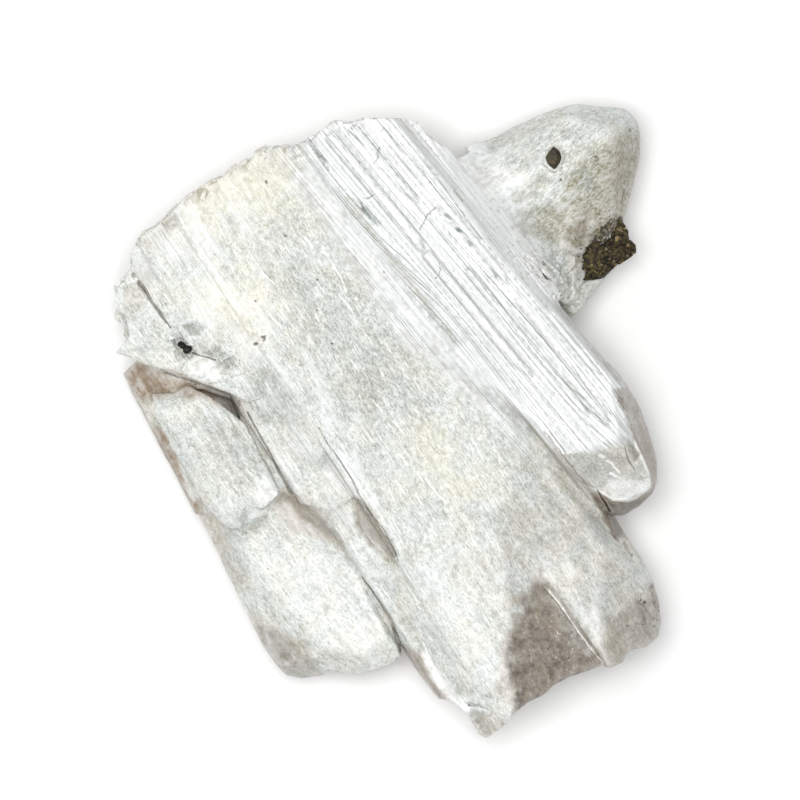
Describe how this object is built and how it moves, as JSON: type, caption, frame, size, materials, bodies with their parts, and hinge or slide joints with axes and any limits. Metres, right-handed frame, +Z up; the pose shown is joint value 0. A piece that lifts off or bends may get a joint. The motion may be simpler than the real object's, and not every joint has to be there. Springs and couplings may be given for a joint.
{
  "type": "danburite crystal specimen",
  "caption": "Cluster of parallel, striated prismatic danburite crystals with a broken root, wedge tips, a cross-grown stub and a few dark foreign grains.",
  "frame": {"origin": "on the resting face, under the middle of the whole specimen", "axes": "-Y along the main crystal from its broken root to its tip, +Z up out of the broad face, +X towards the striated crystal and the stub"},
  "size_m": [0.0672, 0.0698, 0.0192],
  "materials": {
    "danburite": "milky to clear crystal, satin faces with fine striations, glassy at the tips",
    "iron_rock": "rough, porous, rusty",
    "brown_crystal": "resinous",
    "black_mineral": "dull black"
  },
  "bodies": {
    "root": {"danburite_crystals": "danburite", "matrix_lump": "iron_rock", "brown_lens_grain": "brown_crystal", "black_grain": "black_mineral"}
  },
  "joints": []
}
